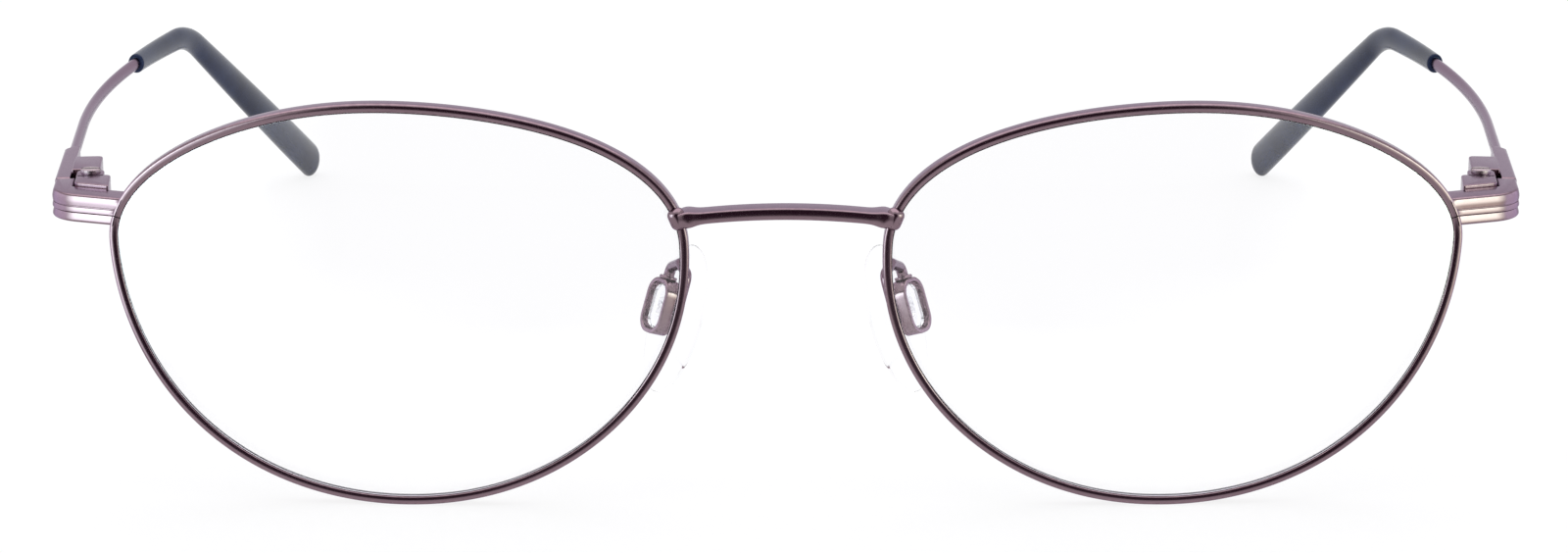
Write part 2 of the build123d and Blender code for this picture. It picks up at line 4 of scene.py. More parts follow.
import bpy
import numpy as np
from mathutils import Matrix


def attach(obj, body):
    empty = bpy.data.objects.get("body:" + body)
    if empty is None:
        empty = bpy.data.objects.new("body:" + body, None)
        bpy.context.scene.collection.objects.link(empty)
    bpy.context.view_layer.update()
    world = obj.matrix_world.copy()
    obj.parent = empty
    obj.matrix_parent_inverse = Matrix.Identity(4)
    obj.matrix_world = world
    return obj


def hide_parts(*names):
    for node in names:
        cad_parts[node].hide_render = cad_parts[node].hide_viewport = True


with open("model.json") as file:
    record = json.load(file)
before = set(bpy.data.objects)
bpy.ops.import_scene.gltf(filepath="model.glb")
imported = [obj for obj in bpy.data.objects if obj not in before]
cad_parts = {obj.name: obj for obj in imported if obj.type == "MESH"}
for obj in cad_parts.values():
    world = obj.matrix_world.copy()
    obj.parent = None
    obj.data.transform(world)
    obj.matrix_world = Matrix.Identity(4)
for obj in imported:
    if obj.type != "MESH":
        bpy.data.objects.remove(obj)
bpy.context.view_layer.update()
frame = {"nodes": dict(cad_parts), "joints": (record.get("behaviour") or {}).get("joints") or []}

# Oval metal eyeglasses. Shapes are worked out in millimetres on the right side, in the modelling
# frame: X outwards, Y rearwards from the front of the rims, Z up from the table. The left side is
# the mirror image.
MM = 0.001

# Lens and its oval outline
lens_width = 51.5
lens_height = 36.2
lens_gap = 18.2
lens_thickness = 1.5
base_radius = 110.0
wrap_angle = 3.0
nose_side_share = 0.5105
brow_share = 0.35
lean_share = 0.047
roundness_power = 2.03
temple_roundness = 0.047
brow_roundness = 0.03
corner_roundness = 0.068

# Rim
rim_wall = 0.8
rim_depth = 1.9
rim_front_radius = 0.28
rim_back_radius = 0.25
rim_lip_radius = 0.18
rim_crown = 0.06
rim_crown_radius = 0.9
groove_depth = 0.4
groove_mouth = 1.0
lens_clearance = 0.04
rim_split = 0.1

# Bridge
bridge_level = 27.05
bridge_arch_radius = 72.0
bridge_height = 1.1
bridge_depth = 2.7
bridge_proud = 0.55
bridge_edge_radius = 0.35
bridge_crown = 0.1
bridge_crown_radius = 2.2
bridge_top_radius = 0.2
neck_flare = 0.2
neck_flare_reach = 0.8
lug_radius = 0.8
lug_height = 2.0
lug_edge_radius = 0.62
lug_drop = 0.55
lug_proud = 0.15

# Endpiece
endpiece_base = 25.2
lower_bar_height = 0.87
bar_gap = 0.05
middle_band_height = 0.5
fine_groove_height = 0.07
fine_groove_depth = 0.12
upper_band_height = 1.06
endpiece_depth = 3.3
endpiece_setback = 0.2
recession_angle = 22.0
corner_radius = 4.2
inner_corner_radius = 0.8
bar_edge_radius = 0.28
groove_lip_radius = 0.07
band_crown = 0.14
band_foot_crown = 0.03
band_peak_share = 0.4
band_peak_radius = 0.9
braze_overlap = 1.2

# Hinge
hinge_x = 64.2
hinge_y = 13.2
hinge_height = 3.2
flare_angle = 6.4
knuckle_radius = 1.25
knuckle_gap = 0.06
swing_gap = 0.15
front_leaf_width = 3.15
leaf_corner_radius = 0.5
leaf_edge_radius = 0.14
temple_leaf_width = 2.6
temple_leaf_length = 5.9

# Temple plate and wire
plate_reach = 1.85
plate_thickness = 1.4
plate_height = 2.55
plate_end_height = 2.4
plate_length = 16.0
plate_end_slope = 1.3
plate_end_drop = 0.65
plate_chamfer = 0.1
plate_end_chamfer = 0.12
plate_inner_radius = 0.08
butt_ahead = 0.8
butt_gap = 0.15
plate_edge_radius = 0.3
temple_length = 140.5
length_to_bend = 89.5
temple_slope = 0.7
bow_start = 32.0
bow_radius = 195.0
bow_turn = 17.8
ear_bend_radius = 17.0
wire_width = 1.0
wire_height = 1.35
wire_start = 8.2
core_end_margin = 9.0
core_width = 0.9
core_height = 1.1
full_wire_reach = 0.5
core_start = 0.6
wire_across = 2.6

# Temple tip
tip_length = 71.0
tip_start_width = 1.75
tip_start_height = 2.1
tip_bend_width = 1.9
tip_bend_height = 2.6
paddle_width = 2.4
paddle_height = 4.3
tip_end_round = 2.2
tip_lip_radius = 0.35

# Pad arm, box, insert and pad
arm_radius = 0.5
arm_low_level = 16.8
arm_low_sink = 0.5
arm_low_depth = 1.45
arm_high_level = 20.9
arm_high_sink = 0.17
arm_high_depth = 2.1
arm_crown = (9.6, 4.9, 21.45)
arm_bend_radius = 1.15
arm_root_bend_radius = 0.9
arm_drop = 1.0
arm_drop_bend_radius = 0.8
arm_start_radius = 0.001
arm_section_way = (1.0, 0.15, 0.0)
collar_radius = 0.82
collar_height = 0.3
collar_edge_radius = 0.12
box_place = (12.2, 7.9, 16.85)
box_width = 3.7
box_height = 5.15
box_depth = 1.5
box_corner_radius = 1.5
box_wall = 0.3
box_lip = 0.12
box_lip_depth = 0.25
box_edge_radius = 0.12
box_window_radius = 0.05
box_back_radius = 0.08
splay_angle = 30.0
frontal_angle = 18.0
insert_gap = 0.22
insert_depth = 0.95
insert_edge_radius = 0.12
neck_radius = 1.0
pad_gap = 0.5
neck_seat = 0.7
pad_width = 7.8
pad_height = 14.0
pad_thickness = 2.3
pad_drop = 0.9
pad_back_share = 0.84
pad_rim_share = 0.3
pad_dome_power = 0.7

# Meshes: sharp edges in degrees, other angles in radians, lengths in millimetres, counts
sharp_angle = 40.0
largest_edge = 0.4
small_turn = 0.001
probe_turn = 0.01
level_samples = 4001
wall_samples = 600
wall_angles = (-0.6, 1.2)
drop_samples = 200001
plan_step = 0.6
rim_rows = 480
lens_columns = 360
lens_rows = 40
lens_middle_share = 0.02
bridge_rows = 121
lug_columns = 48
knuckle_steps = 25
plate_rows = (0, 0.12, 0.3, 4, 8, 12)
wire_rows = 90
core_rows = 60
tip_rows = 150
tip_columns = 56
lip_steps = 12
tip_end_steps = 20
arm_foot_rows = 9
arm_ball_steps = 8
arm_columns = 32
collar_columns = 40
pad_columns = 72
pad_edge_steps = 12
pad_dome_steps = 28

# Finishes: scales in features per metre, reliefs as strength and depth in metres
white = (1.0, 1.0, 1.0, 1.0)
cloud_range = (0.3, 0.7)
frame_plum = (0.185, 0.124, 0.148, 1.0)
frame_mauve = (0.22, 0.152, 0.18, 1.0)
frame_worn = (0.42, 0.31, 0.33, 1.0)
frame_edge_tint = (0.68, 0.62, 0.72, 1.0)
frame_cloud_scale = 45.0
frame_grain_scale = 16000.0
frame_scuff_scale = 2200.0
frame_scuff_range = (0.4, 0.7)
frame_wear = 0.18
frame_roughness = 0.13
frame_grain_roughness = 0.04
frame_cloud_roughness = 0.03
frame_relief = (0.05, 0.000005)
screw_dark = (0.26, 0.2, 0.23, 1.0)
screw_light = (0.36, 0.28, 0.31, 1.0)
screw_mark_scale = 6000.0
screw_roughness = 0.3
screw_mark_roughness = 0.2
screw_relief = (0.1, 0.00001)
lens_index = 1.5
lens_gloss = 0.03
lens_dusty = (0.995, 0.995, 1.0, 1.0)
lens_dust_scale = 2600.0
lens_dust_range = (0.62, 0.8)
lens_dust_roughness = 0.03
# Lens bevel colours: a painted highlight on its front and painted shade on its rear, in place of
# the light that the bevel mirrors inside the lens
lens_edge_painted_highlight = (0.96, 0.9, 1.0, 1.0)
lens_edge_painted_shade = (0.3, 0.29, 0.34, 1.0)
lens_edge_range = (0.75, 1.0)
lens_edge_cloud = 0.1
lens_edge_roughness = 0.35
tip_dark = (0.008, 0.011, 0.03, 1.0)
tip_light = (0.018, 0.026, 0.062, 1.0)
tip_gloss = 0.12
tip_gloss_tint = (0.6, 0.7, 1.0, 1.0)
tip_cloud_scale = 120.0
tip_cloud_range = (0.35, 0.65)
tip_mark_scale = 3500.0
tip_mark_range = (0.5, 0.75)
tip_roughness = 0.14
tip_cloud_roughness = 0.08
tip_mark_roughness = 0.1
tip_relief = (0.15, 0.00004)
# Name, index, roughness and tint of the clear plastics
insert_plastic = ("clear_insert_plastic", 1.4, 0.02, (0.97, 0.97, 1.0, 1.0))
pad_silicone = ("clear_soft_silicone", 1.07, 0.03, (0.98, 0.98, 1.0, 1.0))
haze_tint = (0.99, 0.99, 1.0, 1.0)
haze_scale = 900.0
haze_range = (0.4, 0.8)
haze_roughness = 0.05

# Studio, in metres
floor_white = (0.94, 0.94, 0.99, 1.0)
floor_glow_share = 0.85
floor_half_size = 6.0
room_light = 0.7
lamp_place = (0.0, 0.15, 0.9)
lamp_size = 1.4
lamp_power = 8.0
card_end_fade = 0.12
card_tint_power = 1.5
dark_glows = ((0.07, 0.035, 0.06, 1.0),) * 2
side_glows = (1.6, 1.65, 1.9, 1.0), (1.9, 1.95, 2.2, 1.0)
left_glows = (3.6, 4.4, 4.4, 1.0), (8.8, 11.6, 10.8, 1.0)
right_glows = (1.6, 1.5, 1.1, 1.0), (9.2, 12.0, 9.2, 1.0)
# Name, start, azimuth, distance, half width, lower and upper edge, side fade, glows
mirror_cards = [
    ("dark_room_card", 0.0, 0.0, 0.42, 0.25, -0.1, 0.36, 0.15, dark_glows),
    ("dark_low_card", 0.0, 0.0, 0.41, 0.17, -0.12, 0.1, 0.5, dark_glows),
    ("left_side_card", -0.066, -110.0, 0.12, 0.08, -0.06, 0.09, 0.2, side_glows),
    ("right_side_card", 0.066, 110.0, 0.12, 0.08, -0.06, 0.09, 0.2, side_glows),
    ("left_glow_card", -0.066, -50.0, 0.08, 0.058, -0.02, 0.07, 0.5, left_glows),
    ("right_glow_card", 0.066, 50.0, 0.08, 0.058, -0.02, 0.07, 0.5, right_glows),
]

# Camera, in millimetres and degrees
camera_place = (-0.17, -350.0, 104.53)
camera_pitch = 13.38
focal_length = 92.23
sensor_width = 36.0

# Places worked out from the sizes
right_angle = 90.0
lens_middle_x = lens_gap / 2 + lens_width / 2
lens_middle_z = rim_wall - groove_depth + lens_height / 2
widest_x = lens_gap / 2 + nose_side_share * lens_width
widest_z = rim_wall - groove_depth + (1 - brow_share) * lens_height
sphere_x = lens_middle_x - base_radius * sin(radians(wrap_angle))
sphere_y = sqrt(base_radius**2 - (lens_gap / 2 - sphere_x) ** 2)
split_level = endpiece_base + lower_bar_height
upper_base = split_level + bar_gap
upper_height = middle_band_height + fine_groove_height + upper_band_height
endpiece_level = (endpiece_base + upper_base + upper_height) / 2
hinge_base = endpiece_level - hinge_height / 2
knuckle_height = (hinge_height - 2 * knuckle_gap) / 3
plate_outer = plate_reach + plate_thickness
outer_reach = rim_wall - groove_depth
slope_turn = radians(temple_slope)
right_hinge = next(j for j in frame["joints"] if j["name"] == "right_temple_hinge")
row_shift = hinge_y - right_hinge["pos_m"][1] / MM


def unit(vectors):
    """Vectors divided by their own length."""
    return vectors / np.linalg.norm(vectors, axis=-1, keepdims=True)


def rounded(corners, radii, steps=6, closed=True):
    """Outline whose corners are arcs that touch both sides: each arc turns its start radius
    into its end radius at an even rate. Returns the points and 1 where they lie on an edge."""
    corners = np.array(corners, float)
    points, on_edge = [], []
    for number, (place, radius) in enumerate(zip(corners, radii)):
        if radius == 0 or (not closed and number in (0, len(corners) - 1)):
            points.append(place[None])
            on_edge.append([0.0])
            continue
        back = unit(corners[number - 1] - place)
        ahead = unit(corners[(number + 1) % len(corners)] - place)
        half = np.arccos(np.clip(back @ ahead, -1, 1)) / 2
        centre = place + unit(back + ahead) * radius / sin(half)
        start = place + back * radius / tan(half) - centre
        end = place + ahead * radius / tan(half) - centre
        turn = pi - 2 * half
        share = np.linspace(0, 1, steps + 1)[:, None]
        arc = (np.sin((1 - share) * turn) * start + np.sin(share * turn) * end) / sin(turn)
        points.append(centre + arc)
        on_edge.append(np.full(steps + 1, float(radius < largest_edge)))
    return np.concatenate(points), np.concatenate(on_edge)


def spread(points, most):
    """The same closed outline, with even extra points in sides longer than the given length."""
    sides = np.roll(points, -1, axis=0) - points
    counts = np.maximum(np.ceil(np.linalg.norm(sides, axis=1) / most).astype(int), 1)
    owner = np.repeat(np.arange(len(points)), counts)
    step = np.arange(len(owner)) - np.repeat(np.cumsum(counts) - counts, counts)
    return points[owner] + sides[owner] * (step / counts[owner])[:, None]


def tangents(points):
    """Direction of a closed outline at each point, midway between those of its two sides."""
    sides = unit(np.roll(points, -1, axis=0) - points)
    return unit(sides + np.roll(sides, 1, axis=0))


def joined(*coordinates):
    """Points from their coordinates, each an array or one number for all."""
    return np.stack(np.broadcast_arrays(*coordinates), axis=-1)


def lifted(flat, level):
    """Flat points with a level as their third coordinate."""
    return joined(flat[..., 0], flat[..., 1], level)


def full_turn(count):
    """Even angles round a full turn."""
    return np.linspace(0, 2 * pi, count, endpoint=False)


def quarter_turn(count):
    """Even angles over a quarter turn."""
    return np.linspace(0, pi / 2, count)


def wheel(count):
    """Points of the unit circle at even angles."""
    return joined(np.cos(full_turn(count)), np.sin(full_turn(count)))


def oval_loops(widths, heights, columns=40):
    """Ellipses of the given widths and heights."""
    return wheel(columns) * joined(widths, heights)[:, None] / 2


def carry(path, first, second, profile):
    """A profile carried along a path: place + profile's first part times one direction
    + its second part times the other."""
    return path[:, None] + profile[..., :1] * first[:, None] + profile[..., 1:] * second[:, None]


def button(radius, low, high, edge_radius, columns, steps=6):
    """Round piece with rounded edges between two levels: its points across, up and to the rear
    of its axis, and their wear."""
    corners = [(0, low), (radius, low), (radius, high), (0, high)]
    side, wear_and_sheen = rounded(corners, [0, edge_radius, edge_radius, 0], steps, closed=False)
    side, spokes = side[1:-1, None], wheel(columns)
    points = joined(side[..., 0] * spokes[:, 0], side[..., 1], side[..., 0] * spokes[:, 1])
    return points, wear_and_sheen[1:-1, None]


class Shell:
    """A closed surface on a grid: rows follow its length, columns go round it. Its ends are
    flat faces, or fans that meet in a pole."""

    def __init__(self, points, wear_and_sheen=0.0, ring=False, pole=False):
        self.points = np.asarray(points, float)
        self.wear_and_sheen = np.broadcast_to(wear_and_sheen, self.points.shape[:2]).astype(float)
        self.ring = ring
        self.pole = pole

    def mirrored(self):
        """The same surface on the left side."""
        return Shell(self.points * (-1, 1, 1), self.wear_and_sheen, self.ring, self.pole)

    def mesh_data(self):
        """Vertices, faces and the wear and sheen mark; the faces are turned outwards by the sign
        of the volume.
        """
        rows, columns = self.points.shape[:2]
        index = np.arange(rows * columns).reshape(rows, columns)
        low = index if self.ring else index[:-1]
        high = np.roll(index, -1, axis=0) if self.ring else index[1:]
        quads = joined(low, np.roll(low, -1, axis=1), np.roll(high, -1, axis=1), high)
        quads = quads.reshape(-1, 4)
        places = self.points.reshape(-1, 3)
        wear_and_sheen = self.wear_and_sheen.reshape(-1)
        triangles = np.concatenate([quads[:, [0, 1, 2]], quads[:, [0, 2, 3]]])
        faces = quads.tolist()
        if not self.ring:
            ends = [np.flip(index[0]), index[-1]]
            for number, end in enumerate(ends):
                fan = joined(end, np.roll(end, -1), len(places) + number)
                triangles = np.concatenate([triangles, fan])
                faces += fan.tolist() if self.pole else [end.tolist()]
            middles = [places[end].mean(axis=0) for end in ends]
            places = np.concatenate([places, middles])
            wear_and_sheen = np.concatenate([wear_and_sheen, [wear_and_sheen[end].mean() for end in ends]])
        one, two, three = (places[triangles[:, corner]] for corner in range(3))
        if np.einsum("ij,ij->", one, np.cross(two, three)) < 0:
            faces = [face[::-1] for face in faces]
        if not self.ring and not self.pole:
            places, wear_and_sheen = places[:-2], wear_and_sheen[:-2]
        return places, faces, wear_and_sheen


def new_object(name, data):
    """Adds an object with a mesh, lamp or camera to the scene, at the origin."""
    made = bpy.data.objects.new(name, data)
    bpy.context.scene.collection.objects.link(made)
    return made


def mesh_object(name, places, faces, material):
    """Adds an object from its places and faces."""
    mesh = bpy.data.meshes.new(name)
    mesh.from_pydata(places, [], faces)
    mesh.materials.append(material)
    return new_object(name, mesh)


def in_row(places):
    """Millimetres of the modelling frame as metres of the scene."""
    return (places - np.array([0, row_shift, 0])) * MM


def add_piece(name, shells, finish, body, *nodes):
    """One object from its shells, smooth but for sharp edges, for nodes of the solid model."""
    material, slot = finish
    places, faces, wear_and_sheen, start = [], [], [], 0
    for shell in shells:
        shell_places, shell_faces, shell_wear = shell.mesh_data()
        places.append(shell_places)
        wear_and_sheen.append(shell_wear)
        faces += [[corner + start for corner in face] for face in shell_faces]
        start += len(shell_places)
    piece = mesh_object(name, in_row(np.concatenate(places)), faces, material)
    mesh = piece.data
    mesh.polygons.foreach_set("use_smooth", np.ones(len(faces), bool))
    mesh.set_sharp_from_angle(angle=radians(sharp_angle))
    mark = mesh.attributes.new("wear_and_sheen", "FLOAT", "POINT")
    mark.data.foreach_set("value", np.concatenate(wear_and_sheen).astype(np.float32))
    mesh.update()
    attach(piece, body)
    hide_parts(*nodes)


def outline(angles):
    """Lens outline: half width and half height of each quarter times cos and sin of the angle
    over their power sum, leaning outwards with height."""
    along, up = np.cos(angles), np.sin(angles)
    half_width = lens_width * np.where(along > 0, 1 - nose_side_share, nose_side_share)
    half_height = lens_height * np.where(up > 0, brow_share, 1 - brow_share)
    power = roundness_power - temple_roundness * along - brow_roundness * up
    power = power - corner_roundness * np.sin(2 * angles)
    radius = (np.abs(along) ** power + np.abs(up) ** power) ** (-1 / power)
    rise = half_height * radius * up
    across = widest_x + half_width * radius * along + lean_share * rise
    return joined(across, face_depth(across, widest_z + rise), widest_z + rise)


def face_depth(x, z, radius=base_radius):
    """Depth of the front face: a sphere turned by the wrap, zero beside the nose. With another
    radius, the depth of a sphere about the same centre."""
    return sphere_y - np.sqrt(radius**2 - (x - sphere_x) ** 2 - (z - lens_middle_z) ** 2)


def lens_frame(angles):
    """Path along the middle of the rim's depth, its outward and its rearward direction."""
    tangent = unit(outline(angles + small_turn) - outline(angles - small_turn))
    rear = unit((0, 1, 0) - tangent[:, 1:2] * tangent)
    path = outline(angles) + (0, rim_depth / 2, 0)
    return path, np.cross(rear, tangent), rear


def edge_angle(level, low, high):
    """Angle at which the outline passes a level between two angles."""
    angles = np.linspace(low, high, level_samples)
    heights = outline(angles)[:, 2]
    order = np.argsort(heights)
    return float(np.interp(level, heights[order], angles[order]))


def edge_place(angle, reach):
    """Place on the front face at a distance outside the outline, seen from the front."""
    ahead = outline(np.array([angle + small_turn, angle - small_turn]))
    tangent = unit((ahead[0] - ahead[1]) * (1, 0, 1))
    return outline(np.array([angle]))[0] + joined(tangent[2], 0, -tangent[0]) * reach


def crowned_bar(low, high, half_depth, crown):
    """Corners of a bar's profile, with a shallow ridge along its front."""
    front = crown - half_depth
    return [(low, front), (0, -half_depth), (high, front), (high, half_depth), (low, half_depth)]


def rim_shells():
    """Grooved profile carried round the lens from one side of the saw cut to the other."""
    half_mouth = groove_mouth / 2
    corners = crowned_bar(-groove_depth, outer_reach, rim_depth / 2, rim_crown)
    corners += [(-groove_depth, half_mouth), (0, 0), (-groove_depth, -half_mouth)]
    radii = [rim_lip_radius, rim_crown_radius, rim_front_radius]
    radii += [rim_back_radius, rim_lip_radius, groove_lip_radius, 0, groove_lip_radius]
    profile, wear_and_sheen = rounded(corners, radii, steps=8)
    cut = edge_angle(split_level + bar_gap / 2, 0, pi / 2)
    ends = outline(np.array([cut, cut + probe_turn]))
    half_cut = rim_split / 2 * probe_turn / np.linalg.norm(ends[1] - ends[0])
    angles = np.linspace(cut + half_cut, cut + 2 * pi - half_cut, rim_rows)
    return [Shell(carry(*lens_frame(angles), profile), wear_and_sheen)]


def lens_shells():
    """Front sphere, bevel crest and back sphere, as loops that shrink to the middle. Its mark is
    1 on the front of the bevel, for a painted highlight, and 2 on the rear, for painted shade."""
    path, out, rear = lens_frame(full_turn(lens_columns))
    edge = path - out * (groove_depth + lens_clearance)
    middle = (lens_middle_x, 0, lens_middle_z)
    inset = (rim_depth - lens_thickness) / 2
    shares = np.sin(np.linspace(lens_middle_share, 1, lens_rows) * pi / 2)[:, None, None]
    flat = middle + (edge - middle) * shares

    x, z = flat[..., 0], flat[..., 2]
    front_radius = base_radius - inset
    front = joined(x, face_depth(x, z, front_radius), z)
    back = joined(x, face_depth(x, z, front_radius - lens_thickness), z)[::-1]
    half_base = groove_mouth / 2 - lens_clearance
    bevel = [edge - rear * half_base, path - out * lens_clearance, edge + rear * half_base]
    points = np.concatenate([front, bevel, back])
    bevel_sheen_band = np.repeat([0, 1, 2, 0], [len(front) - 1, 3, 2, len(back) - 1])
    return [Shell(points, bevel_sheen_band[:, None], pole=True)]


def bridge_shells():
    """Rounded bar carried along the arch, growing into a lug of round section at each end."""
    lug_angle = edge_angle(bridge_level - lug_drop, pi / 2, pi)
    lug_place = edge_place(lug_angle, outer_reach - rim_wall / 2)
    half_span = atan2(lug_place[0], bridge_arch_radius)
    sweep = np.linspace(-half_span, half_span, bridge_rows)
    middle_depth = bridge_depth / 2 - bridge_proud
    centre_z = bridge_level - bridge_arch_radius
    up = joined(np.sin(sweep), 0, np.cos(sweep))
    path = up * bridge_arch_radius + (0, middle_depth, centre_z)
    half_height, half_depth = bridge_height / 2, bridge_depth / 2
    corners = crowned_bar(-half_height, half_height, half_depth, bridge_crown)
    radii = [bridge_edge_radius, bridge_crown_radius, bridge_top_radius]
    profile, wear_and_sheen = rounded(corners, radii + [bridge_edge_radius] * 2, steps=10)
    from_lug = (half_span - np.abs(sweep)) * bridge_arch_radius - lug_radius
    flare = neck_flare * np.exp(-((from_lug / neck_flare_reach) ** 2))
    grow = 1 + joined(flare / half_height, flare / half_depth)
    rear = np.array([[0, 1, 0]])
    bar = Shell(carry(path, up, rear, profile * grow[:, None]), wear_and_sheen)

    ahead, behind = outline(np.array([lug_angle + probe_turn, lug_angle - probe_turn]))
    axis = unit((ahead - behind) * (1, 0, 1))
    across = np.cross(axis, (0, 1, 0))
    half = lug_height / 2
    local, wear_and_sheen = button(lug_radius, -half, half, lug_edge_radius, lug_columns, steps=8)
    centre = lug_place + (0, lug_radius - lug_proud - bridge_proud, 0)
    lug = Shell(centre + local @ np.array([across, axis, (0, 1, 0)]), wear_and_sheen, pole=True)
    return [bar, lug, lug.mirrored()]


def hinge_spot(across, along):
    """Point in plan, outwards and rearwards from the hinge in the flared temple's frame."""
    turn = radians(-flare_angle)
    x = hinge_x + across * cos(turn) - along * sin(turn)
    y = hinge_y + across * sin(turn) + along * cos(turn)
    return joined(x, y)


def meet(point, direction, across, along):
    """A spot beside the hinge, and where the temple's line through it crosses another line."""
    spot, way = hinge_spot(across, along), hinge_spot(0, 1) - hinge_spot(0, 0)
    gap = spot - point
    area = direction[0] * way[1] - direction[1] * way[0]
    share = (gap[0] * way[1] - gap[1] * way[0]) / area
    return spot, point + direction * share


def endpiece_lines():
    """Plan of the endpiece: start and direction of its front, and start of its back."""
    side = edge_place(edge_angle(endpiece_level, 0, pi / 2), outer_reach)
    turn = radians(recession_angle)
    front = np.array([cos(turn), sin(turn)])
    inward = np.array([-sin(turn), cos(turn)])
    start = side[:2] + (0, endpiece_setback) - front * braze_overlap
    return start, front, start + inward * endpiece_depth


def slab(plan, profile, wear_and_sheen=0.0):
    """Closed plan outline whose wall follows a profile of (inset, level): each loop lies inside
    the plan by the inset, along the plan's normals."""
    following, along = np.roll(plan, -1, axis=0), tangents(plan)
    turning = np.sum(plan[:, 0] * following[:, 1] - plan[:, 1] * following[:, 0])
    outward = joined(along[:, 1], -along[:, 0]) * np.sign(turning)
    loops = plan - outward * profile[:, None, :1]
    return Shell(lifted(loops, profile[:, None, 1]), np.reshape(wear_and_sheen, (-1, 1)))


def edge_profile(base, height, low_radius, high_radius, crown=0.0, foot_crown=0.0):
    """Wall between two rounded edges, upright or leaning back above and below its peak."""
    deep = 2 * max(low_radius, high_radius) + crown
    peak = base + band_peak_share * height
    corners = [(deep, base), (foot_crown, base), (0, peak), (crown, base + height)]
    corners.append((deep, base + height))
    radii = [0, low_radius, band_peak_radius if crown else 0, high_radius, 0]
    profile, wear_and_sheen = rounded(corners, radii, steps=8, closed=False)
    return profile[1:-1], wear_and_sheen[1:-1]


def endpiece_plan():
    """Plan of the bars: a straight front, a round corner and a return to the hinge."""
    start, front, back = endpiece_lines()
    end = -butt_ahead - butt_gap
    outer_end, outer_corner = meet(start, front, plate_outer, end)
    inner_end, inner_corner = meet(back, front, knuckle_radius, end)
    corners = [start, outer_corner, outer_end, inner_end, inner_corner, back]
    radii = [0, corner_radius, 0, 0, inner_corner_radius, 0]
    return spread(rounded(corners, radii, steps=24)[0], plan_step)


def against_rim(shell):
    """The bar's inner end, drawn back to the outer wall of the rim at each level."""
    path, out, _ = lens_frame(np.linspace(*wall_angles, wall_samples))
    wall = path + out * (outer_reach - rim_back_radius)
    order = np.argsort(wall[:, 2])
    reach = np.interp(shell.points[..., 2], wall[order, 2], wall[order, 0])
    shell.points[..., 0] = np.maximum(shell.points[..., 0], reach)
    return shell


def upper_endpiece_shells():
    """Upper bar: a narrow band, one fine groove, and the upper band with its round top edge."""
    groove_base = upper_base + middle_band_height
    band_base = groove_base + fine_groove_height
    lip = groove_lip_radius
    half_crown = band_crown / 2
    low, low_wear = edge_profile(upper_base, middle_band_height, lip, lip, half_crown)
    high, high_wear = edge_profile(
        band_base, upper_band_height, lip, bar_edge_radius, band_crown, band_foot_crown
    )
    groove = np.array([(fine_groove_depth, groove_base), (fine_groove_depth, band_base)])
    profile = np.concatenate([low, groove, high])
    wear_and_sheen = np.concatenate([low_wear, [0, 0], high_wear])
    return [against_rim(slab(endpiece_plan(), profile, wear_and_sheen))]


def lower_endpiece_shells():
    """Lower bar with a round lower edge."""
    profile, wear_and_sheen = edge_profile(
        endpiece_base, lower_bar_height, bar_edge_radius, groove_lip_radius, band_crown
    )
    return [against_rim(slab(endpiece_plan(), profile, wear_and_sheen))]


def knuckle_plan(reach):
    """Round knuckle with a web that reaches along the temple's line."""
    corners = [(knuckle_radius, 0), (knuckle_radius, reach), (-knuckle_radius, reach)]
    half_turn = np.linspace(pi, 2 * pi if reach > 0 else 0, knuckle_steps)[:-1]
    nose = joined(np.cos(half_turn), np.sin(half_turn)) * knuckle_radius
    local = np.concatenate([nose, corners])
    return hinge_spot(*local.T)


def leaf_slab(plan, base, height, radius):
    """Block or knuckle of a hinge leaf, with both its edges rounded."""
    return slab(plan, *edge_profile(base, height, radius, radius))


def front_leaf_shells():
    """Block behind the endpiece, with the upper and the lower knuckle."""
    _, front, back = endpiece_lines()
    end = -knuckle_radius - swing_gap
    outer_end, outer_front = meet(back, front, knuckle_radius, end)
    inner_end, inner_front = meet(back, front, knuckle_radius - front_leaf_width, end)
    corners = [inner_front, outer_front, outer_end, inner_end]
    radii = [leaf_edge_radius, inner_corner_radius, leaf_edge_radius, leaf_corner_radius]
    plan = rounded(corners, radii)[0]
    knuckle = knuckle_plan(end - leaf_corner_radius)
    high_base = hinge_base + 2 * (knuckle_height + knuckle_gap)
    return [
        leaf_slab(plan, hinge_base, hinge_height, leaf_edge_radius),
        leaf_slab(knuckle, hinge_base, knuckle_height, leaf_edge_radius / 2),
        leaf_slab(knuckle, high_base, knuckle_height, leaf_edge_radius / 2),
    ]


def temple_leaf_shells():
    """Block inside the temple plate, with the middle knuckle."""
    front = knuckle_radius + swing_gap
    inner, rear = plate_reach - temple_leaf_width, front + temple_leaf_length
    corners = [(inner, front), (plate_reach, front), (plate_reach, rear), (inner, rear)]
    radii = [leaf_edge_radius, leaf_edge_radius, leaf_edge_radius, leaf_corner_radius]
    local = rounded(corners, radii)[0]
    plan = hinge_spot(*local.T)
    knuckle = knuckle_plan(front + leaf_corner_radius)
    middle_base = hinge_base + knuckle_height + knuckle_gap
    return [
        leaf_slab(plan, hinge_base, hinge_height, leaf_edge_radius),
        leaf_slab(knuckle, middle_base, knuckle_height, leaf_edge_radius / 2),
    ]


